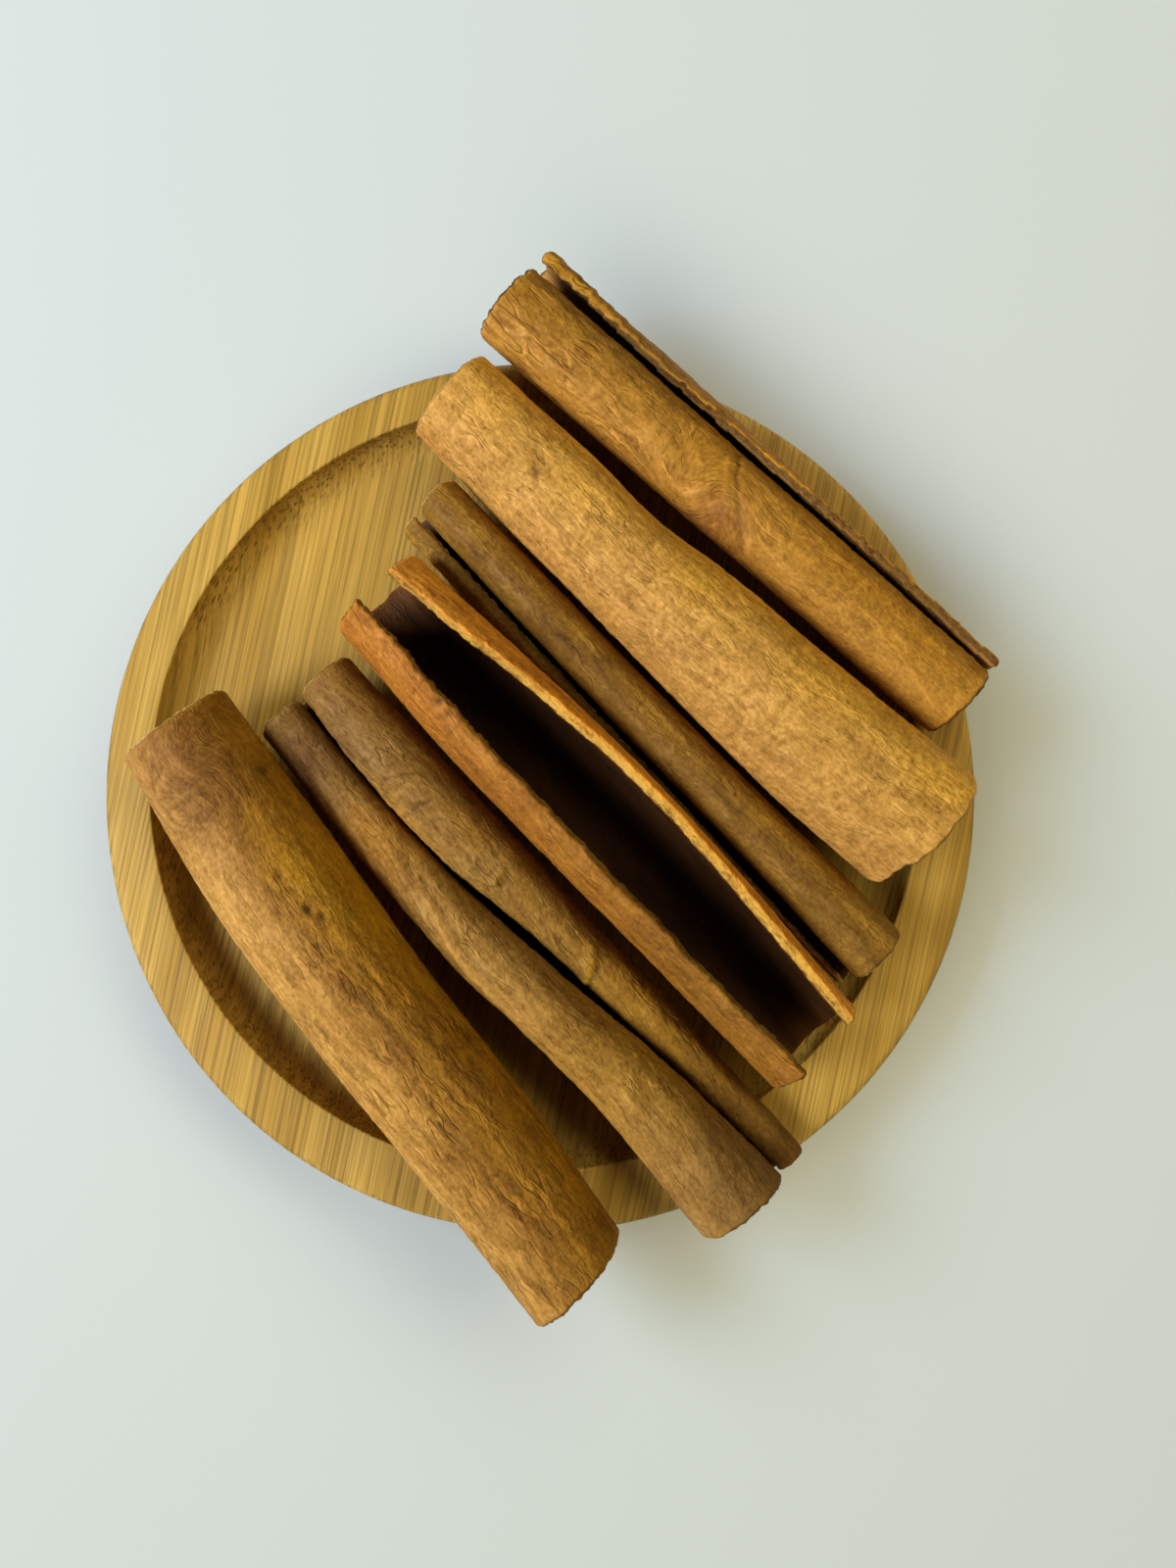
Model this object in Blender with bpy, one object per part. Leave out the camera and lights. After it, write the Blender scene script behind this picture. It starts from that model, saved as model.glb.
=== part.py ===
"""Six rolled cinnamon quills lying side by side across a round bamboo tray.

The frame is in metres with +Z up. Its origin is the centre of the tray's underside.
+X runs to the right and +Y upwards in a view straight down on the tray.

Each quill is one sheet of bark, rolled up as it dried. Its section is the sheet's
mid-line, a chain of curls and flats, thickened to both sides. The section is lofted
along the stick while its width, height and curls change.
"""

from dataclasses import dataclass

import bmesh
import bpy
import numpy as np

MM = 0.001  # the sizes below are in millimetres

# Tray
TRAY_RADIUS = 50.0
TRAY_HEIGHT = 10.0
TRAY_EDGE_ROUND = 1.2
RECESS_RADIUS = 44.0
RECESS_CENTRE = (-0.6, 1.2)
RECESS_DEPTH = 4.6
RECESS_FILLET = 3.7
TRAY_SIDES = 64
ROUND_STEPS = 2
FILLET_STEPS = 5

# Quills
REST_GAP = 0.3
STATIONS = 14
PATH_POINTS = 23
FINE_POINTS = 600
SMOOTHING = 1.6
FLAT_SHARE = 0.8
END_REACH = 6

BAMBOO = (0.46, 0.27, 0.08)


@dataclass
class Quill:
    """One stick. The tuples hold values at even distances from its start to its end."""

    start: tuple
    end: tuple
    width: tuple
    height: tuple
    sheet: tuple
    base: int
    sway: tuple = (0.0, 0.0)
    bark: float = 1.25
    back_up: bool = False
    lean: tuple = (0.0, 0.0)  # how far each end's top is cut back behind its foot
    skew: tuple = (0.0, 0.0)  # how far each end runs on from its left to its right side
    colour: tuple = (0.25, 0.11, 0.02)


def curl(degrees, radius):
    """A bend of the sheet, as (length, degrees turned) for each value given."""
    degrees, radius = np.broadcast_arrays(np.atleast_1d(degrees), np.atleast_1d(radius))
    return np.stack([np.radians(degrees) * radius, degrees], axis=-1)


def flat(length):
    """A flat stretch of the sheet, as (length, 0) for each value given."""
    length = np.atleast_1d(length)
    return np.stack([length, np.zeros(len(length))], axis=-1)


QUILLS = {
    "quill_1_broad": Quill(
        start=(-40.1, 8.3),
        end=(4.7, -52.9),
        width=(13.1, 15.0, 14.7, 14.4, 13.2),
        height=(11.6, 12.6, 12.6, 12.2, 11.6),
        sway=(0.0, -0.7, -0.8, -0.1, 0.0),
        sheet=(curl(200, 2.2), curl(260, 6.4), curl(190, 2.3)),
        base=1,
        back_up=True,
        lean=(1.4, 0.4),
        skew=(0.0, -2.4),
        colour=(0.25, 0.11, 0.02),
    ),
    "quill_2_twin_roll": Quill(
        start=(-26.2, 11.6),
        end=(24.1, -44.1),
        width=(13.0, 14.6, 14.6, 13.9, 14.6),
        height=(7.4, 8.2, 8.4, 8.6, 9.4),
        sway=(0.0, -0.4, -0.3, 0.5, 0.0),
        sheet=(
            curl(100, (1.1, 1.4, 1.7, 2.3, 3.2)),
            curl(265, (2.3, 2.6, 3.2, 3.9, 5.0)),
            flat((6.2, 7.0, 7.6, 6.7, 6.9)),
            curl((265, 265, 265, 250, 220), (2.8, 3.4, 2.5, 2.0, 1.6)),
            curl((100, 100, 100, 60, 30), (1.3, 1.8, 1.1, 0.9, 0.8)),
        ),
        base=2,
        bark=1.15,
        skew=(0.0, 1.2),
        colour=(0.21, 0.10, 0.02),
    ),
    "quill_3_open_channel": Quill(
        start=(-17.6, 22.6),
        end=(30.4, -27.4),
        width=(11.9, 13.7, 14.4, 13.7, 12.6),
        height=(11.2, 12.2, 12.4, 12.2, 11.4),
        sway=(0.0, 0.1, 0.5, 0.4, 0.0),
        sheet=(
            curl((166, 160, 156, 157, 163), 6.4),
            flat(1.0),
            curl((158, 137, 120, 121, 128), 6.4),
        ),
        base=1,
        bark=1.5,
        colour=(0.31, 0.13, 0.02),
    ),
    "quill_4_slim": Quill(
        start=(-12.4, 32.5),
        end=(37.1, -18.1),
        width=(8.3, 8.3, 8.2, 8.4, 9.0),
        height=(7.6, 7.8, 8.0, 8.0, 8.0),
        sway=(0.0, -0.2, -0.2, 0.0, 0.0),
        sheet=(
            curl((205, 185, 115), (1.4, 1.3, 1.0)),
            flat((3.95, 4.0, 3.9)),
            curl(265, (2.3, 2.8, 3.1)),
            curl(100, (1.1, 1.4, 1.6)),
        ),
        base=1,
        bark=1.1,
        colour=(0.21, 0.10, 0.02),
    ),
    "quill_5_smooth": Quill(
        start=(-9.9, 44.7),
        end=(42.2, -3.5),
        width=(11.4, 11.9, 12.4, 12.3, 13.7, 14.6, 15.4, 15.9, 16.2),
        height=(9.8, 11.6, 12.8, 13.2, 12.6),
        sway=(0.0, -0.35, -0.6, -1.1, -0.85, -0.85, -0.8, -0.5, 0.0),
        sheet=(curl(190, 1.9), curl(265, 6.0), curl(150, 2.0)),
        base=1,
        back_up=True,
        lean=(0.6, -2.0),
        colour=(0.39, 0.19, 0.03),
    ),
    "quill_6_lipped": Quill(
        start=(-2.7, 55.7),
        end=(47.1, 10.9),
        width=(12.4, 12.8, 12.5, 11.5, 10.9),
        height=(9.8, 9.8, 9.6, 9.6, 9.4),
        sway=(0.1, 0.45, 0.55, 0.35, 0.1),
        sheet=(
            curl(160, (2.7, 2.6, 2.55, 2.7, 2.8)),
            curl(235, (4.2, 4.1, 4.1, 4.25, 4.35)),
            flat((5.6, 6.0, 5.8, 5.05, 4.6)),
            curl((93, 115, 112, 101, 94), 1.5),
            flat((3.2, 4.4, 5.0, 4.9, 4.8)),
            curl((122, 40, 15, 10, 8), 0.95),
        ),
        base=2,
        bark=1.2,
        lean=(0.8, 0.0),
        colour=(0.39, 0.19, 0.03),
    ),
}


def at(values, t):
    """The value at t, from 0 to 1, of a smooth curve through evenly spaced values."""
    values = np.asarray(values, float)
    last = len(values) - 1
    if last == 0:
        return values[0]
    whole = min(int(t * last), last - 1)
    part = t * last - whole
    ends = [values[min(max(whole + step, 0), last)] for step in (-1, 0, 1, 2)]
    before, left, right, after = ends
    slope_left = (right - before) / 2
    slope_right = (after - left) / 2
    return (
        left * (1 + 2 * part) * (1 - part) ** 2
        + right * part**2 * (3 - 2 * part)
        + slope_left * part * (1 - part) ** 2
        - slope_right * part**2 * (1 - part)
    )


def mid_line(quill, t):
    """Points across and up of the sheet's mid-line at t, with its base piece level."""
    lengths, degrees = np.transpose([at(piece, t) for piece in quill.sheet])
    ends = np.concatenate([[0], np.cumsum(lengths)])
    distance = np.linspace(0, ends[-1], FINE_POINTS)
    step = distance[1]
    piece = np.clip(np.searchsorted(ends, distance, side="right") - 1, 0, len(lengths) - 1)
    curvature = (np.radians(degrees) / lengths)[piece]
    reach = int(SMOOTHING / step / 2)
    padded = np.pad(curvature, reach, mode="edge")
    curvature = np.convolve(padded, np.full(2 * reach + 1, 1 / (2 * reach + 1)), "valid")
    heading = np.cumsum(curvature) * step
    heading -= np.interp(ends[quill.base] + lengths[quill.base] / 2, distance, heading)
    points = np.cumsum(np.stack([np.cos(heading), np.sin(heading)], axis=-1), axis=0) * step
    if quill.back_up:
        points[:, 1] *= -1
    return points


def fit_to_size(points, width, height):
    """The points scaled to this width and height, centred across and standing on 0."""
    low = points.min(axis=0)
    high = points.max(axis=0)
    scaled = (points - low) / (high - low) * (width, height)
    return scaled - (width / 2, 0)


def section(quill, t):
    """The outer and inner outline of the section at t, each from one edge to the other."""
    bark = quill.bark
    points = mid_line(quill, t)
    points = fit_to_size(points, at(quill.width, t) - bark, at(quill.height, t) - bark)
    points += (at(quill.sway, t), bark / 2)
    along = np.gradient(points, axis=0)
    along /= np.linalg.norm(along, axis=1)[:, None]
    outward = np.stack([along[:, 1], -along[:, 0]], axis=-1) * bark / 2
    if quill.back_up:
        outward = -outward
    pick = spread_points(along)
    return (points + outward)[pick], (points - outward)[pick]


def spread_points(along):
    """The path points to keep: they lie closer together where the sheet bends."""
    turned = np.linalg.norm(np.diff(along, axis=0), axis=1)
    share = turned / turned.sum() + FLAT_SHARE / len(turned)
    share = np.concatenate([[0], np.cumsum(share)])
    even = np.linspace(0, share[-1], PATH_POINTS)
    return np.searchsorted(share, even).clip(0, len(share) - 1)


def end_cut(quill, t, outline):
    """How far each point of the section lies past its station, near a slanted end."""
    near_start = (1 - t) ** END_REACH
    near_end = t**END_REACH
    lean = quill.lean[0] * near_start - quill.lean[1] * near_end
    skew = quill.skew[0] * near_start + quill.skew[1] * near_end
    up = outline[:, 1] / at(quill.height, t) - 0.5
    right = (outline[:, 0] - at(quill.sway, t)) / at(quill.width, t)
    return lean * up + skew * right


def quill_mesh(name, quill):
    """The quill's closed mesh, lofted through its stations."""
    start = np.array(quill.start)
    axis = np.array(quill.end) - start
    length = np.linalg.norm(axis)
    axis /= length
    across = np.array([-axis[1], axis[0]])
    mesh = bmesh.new()
    rings = []
    for t in np.linspace(0, 1, STATIONS):
        outer, inner = section(quill, t)
        outline = np.concatenate([outer, inner[::-1]])
        run = t * length + end_cut(quill, t, outline)
        plan = start + run[:, None] * axis + outline[:, :1] * across
        level = outline[:, 1] + TRAY_HEIGHT + REST_GAP
        places = np.column_stack([plan, level]) * MM
        rings.append([mesh.verts.new(place) for place in places])
    count = len(rings[0])
    for ring, following in zip(rings, rings[1:]):
        for i in range(count):
            j = (i + 1) % count
            mesh.faces.new((ring[i], ring[j], following[j], following[i]))
    for ring in (rings[0], rings[-1]):
        for i in range(PATH_POINTS - 1):
            opposite = count - 1 - i
            mesh.faces.new((ring[i], ring[i + 1], ring[opposite - 1], ring[opposite]))
    bmesh.ops.recalc_face_normals(mesh, faces=mesh.faces)
    return finished(name, mesh)


def arc(centre, radius, first, last, steps):
    """Points (distance, height) on an arc, with its angles in degrees."""
    angles = np.radians(np.linspace(first, last, steps + 1))
    return [(centre[0] + radius * np.cos(a), centre[1] + radius * np.sin(a)) for a in angles]


def ring_of(mesh, radius, level, centre=(0.0, 0.0)):
    """A ring of vertices round the centre at this level."""
    angles = np.linspace(0, 2 * np.pi, TRAY_SIDES, endpoint=False)
    return [
        mesh.verts.new(
            (
                (centre[0] + radius * np.cos(angle)) * MM,
                (centre[1] + radius * np.sin(angle)) * MM,
                level * MM,
            )
        )
        for angle in angles
    ]


def tray_mesh():
    """The tray: a round slab with soft edges and a shallow recess turned into its top."""
    edge = TRAY_EDGE_ROUND
    side = TRAY_RADIUS - edge
    outer = arc((side, edge), edge, -90, 0, ROUND_STEPS)
    outer += arc((side, TRAY_HEIGHT - edge), edge, 0, 90, ROUND_STEPS)
    floor = TRAY_HEIGHT - RECESS_DEPTH
    toe = RECESS_RADIUS - RECESS_FILLET
    recess = [(RECESS_RADIUS, TRAY_HEIGHT)]
    recess += arc((toe, floor + RECESS_FILLET), RECESS_FILLET, 0, -90, FILLET_STEPS)
    mesh = bmesh.new()
    rings = [ring_of(mesh, radius, level) for radius, level in outer]
    rings += [ring_of(mesh, radius, level, RECESS_CENTRE) for radius, level in recess]
    for ring, following in zip(rings, rings[1:]):
        for i in range(TRAY_SIDES):
            j = (i + 1) % TRAY_SIDES
            mesh.faces.new((ring[i], ring[j], following[j], following[i]))
    mesh.faces.new(rings[0])
    mesh.faces.new(rings[-1])
    bmesh.ops.recalc_face_normals(mesh, faces=mesh.faces)
    return finished("tray", mesh)


def finished(name, mesh):
    """The mesh as an object in the scene, shaded smooth except at its sharp edges."""
    data = bpy.data.meshes.new(name)
    mesh.to_mesh(data)
    mesh.free()
    data.shade_smooth()
    data.set_sharp_from_angle(angle=np.radians(40))
    item = bpy.data.objects.new(name, data)
    bpy.context.scene.collection.objects.link(item)
    return item


def paint(item, colour, roughness):
    """Gives the object its own plain material."""
    material = bpy.data.materials.new(item.name)
    material.use_nodes = True
    shader = material.node_tree.nodes["Principled BSDF"]
    shader.inputs["Base Color"].default_value = (*colour, 1)
    shader.inputs["Roughness"].default_value = roughness
    shader.inputs["Metallic"].default_value = 0.0
    item.data.materials.append(material)


def main():
    for item in list(bpy.data.objects):
        bpy.data.objects.remove(item)
    paint(tray_mesh(), BAMBOO, 0.5)
    for name, quill in QUILLS.items():
        paint(quill_mesh(name, quill), quill.colour, 0.8)


main()
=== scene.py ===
"""Looks of the six cinnamon quills and their bamboo tray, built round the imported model.

Sizes below are in millimetres. Each quill is the same rolled sheet as in the CAD, made
again from many more points, with the bark's wrinkles, cracks, pits and worn edges in its
mesh. The colours of the bark and the bamboo come from procedural materials.
"""

from dataclasses import dataclass, field

import bpy
import numpy as np
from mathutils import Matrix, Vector


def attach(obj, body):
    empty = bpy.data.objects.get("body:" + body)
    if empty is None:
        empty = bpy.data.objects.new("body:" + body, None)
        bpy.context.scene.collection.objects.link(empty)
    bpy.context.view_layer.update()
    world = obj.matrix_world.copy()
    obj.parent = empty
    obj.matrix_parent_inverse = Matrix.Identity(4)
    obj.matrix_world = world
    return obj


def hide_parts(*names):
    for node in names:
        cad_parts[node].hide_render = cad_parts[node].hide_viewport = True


MM = 0.001

# Tray
TRAY_RADIUS = 50.0
TRAY_HEIGHT = 10.0
TRAY_EDGE_ROUND = 1.2
RECESS_RADIUS = 44.0
RECESS_CENTRE = (-0.6, 1.2)
RECESS_DEPTH = 4.6
RECESS_FILLET = 3.7
RECESS_LIP_ROUND = 0.25
TRAY_SIDES = 512
TRAY_RING_GAP = 1.6
GRAIN_TURN = 12.0  # degrees from +Y towards +X

# Quills
REST_GAP = 0.3
STATION_GAP = 0.25  # between rows of points along a stick
END_STATIONS = (0.0, 0.07, 0.18, 0.34, 0.54)  # distances from each end, closer together
FIRST_STATION = 0.78
PATH_POINTS = 120  # points round one side of the sheet, picked from the fine ones
FINE_POINTS = 600
SMOOTHING = 1.6  # the length of sheet over which one bend turns into the next
END_REACH = 6  # how sharply the lean and skew of an end fade along the stick
CUT_ROWS = 4
EDGE_ROUND = 0.22
WORN_REACH = 0.4
TOP_DROP = 0.12  # keeps the relief on top under the CAD's highest point
FIBRE_DEPTH = 0.09
RIPPLE_DEPTH = 0.07
BUMP_DEPTH = 0.035
CREASE_DEPTH = 0.13
INSIDE_DEPTH = 0.08
TORN_DEPTH = 0.20
END_TORN_DEPTH = 0.12
PAINTED_LIGHT_REACH = 3.5  # how far the painted light on the inside reaches from an end
PAINTED_LIGHT_SHARE = 1.3  # and how much that painted light brightens the inside there

# Camera and light
CAMERA_PLACE = (0.00549, 0.00157, 0.1468)
CAMERA_LENS = 36.6
WINDOW_COLOUR = (1.20, 1.35, 1.45)
ROOM_COLOUR = (0.90, 0.75, 0.15)
AWAY_FROM_WINDOW = (0.87, -0.5, 0.0)
ACROSS_STICKS = (-0.72, -0.69, 0.0)
SKY_BAND = (0.35, 0.65)  # the sky is dim in a band along the sticks, and bright past it
HORIZON = (0.4, 0.7)  # and it brightens between these heights
WORLD_STRENGTH = (0.02, 3.0)
BACKDROP_COLOUR = (0.50, 0.53, 0.50)  # seen behind the floor, and lights nothing


@dataclass
class Feature:
    """A place on a quill, so far along it and so far towards its upper-right side."""

    along: float
    across: float
    size: float
    depth: float = 0.0
    dark: float = 0.0
    pale: float = 0.0
    tint: tuple = (1.0, 1.0, 1.0)
    stretch: float = 1.0
    turn: float = 0.0


@dataclass
class Line:
    """A crack (depth over 0) or a raised line (under 0) through points (along, across)."""

    points: tuple
    width: float
    depth: float
    dark: float = 0.0
    pale: float = 0.0


@dataclass
class Quill:
    """One stick. The tuples hold values at even distances from its start to its end."""

    start: tuple
    end: tuple
    width: tuple
    height: tuple
    sheet: tuple
    base: int
    sway: tuple = (0.0, 0.0)
    bark: float = 1.25
    back_up: bool = False
    lean: tuple = (0.0, 0.0)  # how far each end leans out at its top
    skew: tuple = (0.0, 0.0)  # and towards its right
    slot: str = "bark_brown"
    colour: tuple = (0.27, 0.13, 0.024)
    left: tuple = (1.0, 1.0, 1.0)  # what the colour is multiplied by towards each side: partly the bark's own tone, partly painted light and shade on that flank
    right: tuple = (1.0, 1.0, 1.0)
    # Colour of the inside: the inner bark's own colour darkened as painted shade; the open channel's is
    # darker still, and the lipped quill's is lightened as painted light.
    inner: tuple = (0.060, 0.028, 0.012)
    cut: tuple = (0.54, 0.30, 0.075)
    fibre: tuple = (0.8,)  # how strong the wrinkles along the bark are
    ripple: tuple = (0.4,)  # and those across it
    crackle: tuple = (0.4,)
    swell: float = 0.10
    mottle: float = 0.45
    ragged: float = 0.32
    scallop: float = 0.0
    lip_swell: float = 0.0  # how much thicker a lip on the right is, on its inside
    edge_waves: float = 0.2
    features: list = field(default_factory=list)
    lines: list = field(default_factory=list)
    bites: tuple = ()  # notches in an end, as (end, across, half width, depth)


def curl(degrees, radius):
    """A bend of the sheet, as (length, degrees turned) for each value given."""
    degrees, radius = np.broadcast_arrays(np.atleast_1d(degrees), np.atleast_1d(radius))
    return np.stack([np.radians(degrees) * radius, degrees], axis=-1)


def flat(length):
    """A flat stretch of the sheet, as (length, 0) for each value given."""
    length = np.atleast_1d(length)
    return np.stack([length, np.zeros(len(length))], axis=-1)


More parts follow.
